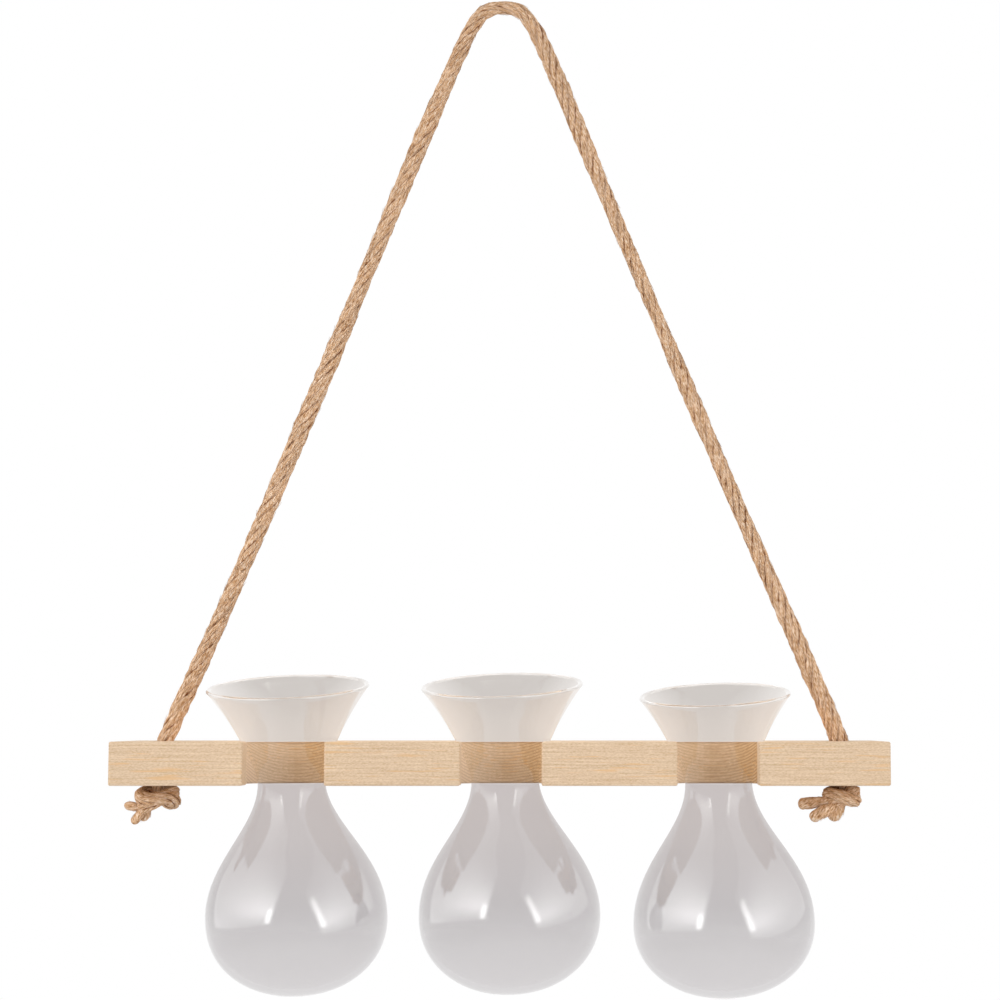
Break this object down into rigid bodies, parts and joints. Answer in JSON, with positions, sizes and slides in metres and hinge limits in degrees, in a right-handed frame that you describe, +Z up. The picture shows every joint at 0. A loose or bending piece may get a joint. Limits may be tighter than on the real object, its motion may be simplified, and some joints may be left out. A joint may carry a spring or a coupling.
{
  "type": "hanging propagation vase",
  "caption": "Hanging propagation vase: glass bulb bottles with flared mouths sit in keyhole notches of a wooden bar, hung from a twisted jute rope with stopper knots.",
  "frame": {"origin": "hanging point, on the inner side of the rope's top bend, above the middle of the bar", "axes": "+X along the bar to the viewer's right, +Y from the bar's front to its back, +Z up"},
  "size_m": [0.32, 0.0881, 0.4274],
  "materials": {
    "wood": "sanded and unvarnished",
    "glass": "clear blown glass",
    "jute": "twisted jute"
  },
  "bodies": {
    "holder": {"bar": "wood", "rope": "jute", "left_knot": "jute", "right_knot": "jute"},
    "left_bottle": {"bottle_left": "glass"},
    "middle_bottle": {"bottle_middle": "glass"},
    "right_bottle": {"bottle_right": "glass"}
  },
  "joints": [
    {"name": "left_bottle_draw", "type": "slide", "parent": "holder", "child": "left_bottle", "axis": [0, -0.7071, 0.7071], "range_m": [0, 0.012]},
    {"name": "middle_bottle_draw", "type": "slide", "parent": "holder", "child": "middle_bottle", "axis": [0, -0.7071, 0.7071], "range_m": [0, 0.012]},
    {"name": "right_bottle_draw", "type": "slide", "parent": "holder", "child": "right_bottle", "axis": [0, -0.7071, 0.7071], "range_m": [0, 0.012]}
  ]
}
